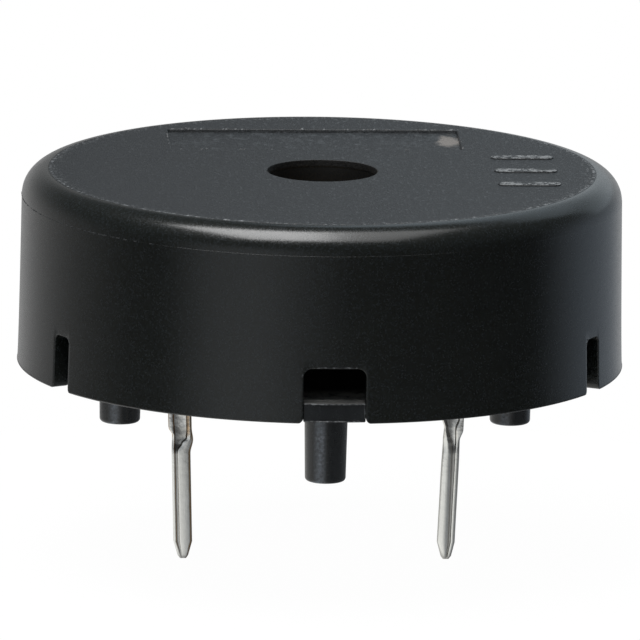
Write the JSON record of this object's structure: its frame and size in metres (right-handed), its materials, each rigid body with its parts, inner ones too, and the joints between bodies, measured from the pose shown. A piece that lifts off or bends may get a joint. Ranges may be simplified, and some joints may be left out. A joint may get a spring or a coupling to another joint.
{
  "type": "piezo buzzer",
  "caption": "Round through-hole piezo sounder: a black moulded cup with a sound hole, closed below by a base on stand-off feet, with folded tinned pins.",
  "frame": {"origin": "on the case's axis, level with the ends of the feet, where the face of the circuit board is", "axes": "+Z out of the sound hole, away from the board; -Y from the axis to the foot that stands alone under its notch; +X from the axis to the pin that feeds the silver coat"},
  "size_m": [0.022, 0.022, 0.0144],
  "materials": {
    "case_plastic": "black moulded resin, fine matt grain on the top, satin on the side",
    "base_plastic": "black moulded resin, satin",
    "plate_brass": "rolled brass sheet",
    "ceramic": "unglazed fired ceramic",
    "silver_coat": "fired silver coat",
    "silicone": "cured silicone adhesive",
    "tinned_bronze": "tin-plated phosphor bronze strip, half bright, drawn lengthways"
  },
  "bodies": {
    "root": {"case": "case_plastic", "base": "base_plastic", "diaphragm_plate": "plate_brass", "ceramic_disc": "ceramic", "silver_electrode": "silver_coat", "silicone_bead": "silicone", "electrode_terminal": "tinned_bronze", "plate_terminal": "tinned_bronze"}
  },
  "joints": []
}
